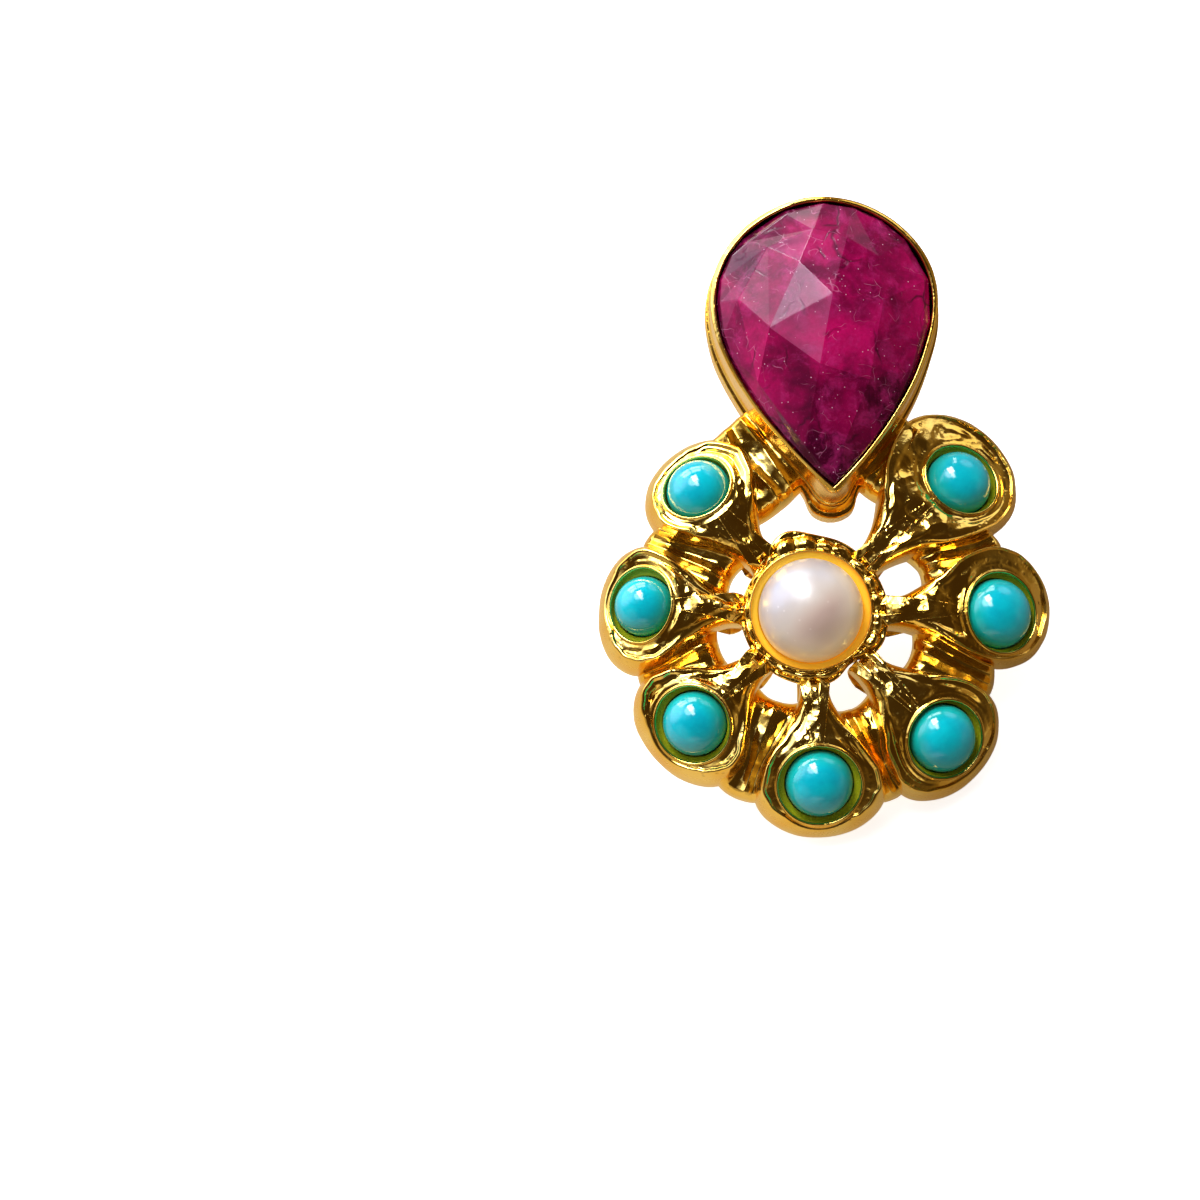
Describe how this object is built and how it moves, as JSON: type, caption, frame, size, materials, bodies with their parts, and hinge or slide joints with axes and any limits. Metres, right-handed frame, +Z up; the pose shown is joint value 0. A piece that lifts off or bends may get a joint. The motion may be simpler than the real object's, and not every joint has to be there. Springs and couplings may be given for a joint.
{
  "type": "stud earring",
  "caption": "Stud earring: cast gold-coloured flower with turquoise cabochons round a button pearl, a large faceted pear ruby above and a plain ear post behind.",
  "frame": {"origin": "centre of the footprint of the box round the earring, on the surface it lies on", "axes": "+Y from the lowest petal towards the ruby end, +Z up; the earring lies face up, tilted, on the end of its post and on the backs of its two lowest petals"},
  "size_m": [0.0256, 0.0348, 0.017],
  "materials": {
    "gold": "polished gold plate, hammered in places",
    "ruby": "faceted and polished, with inclusions",
    "pearl": "pearly gloss",
    "turquoise": "polished cabochon"
  },
  "bodies": {
    "root": {"gold_setting": "gold", "ear_post": "gold", "ruby": "ruby", "pearl": "pearl", "turquoise_1": "turquoise", "turquoise_2": "turquoise", "turquoise_3": "turquoise", "turquoise_4": "turquoise", "turquoise_5": "turquoise", "turquoise_6": "turquoise", "turquoise_7": "turquoise"}
  },
  "joints": []
}
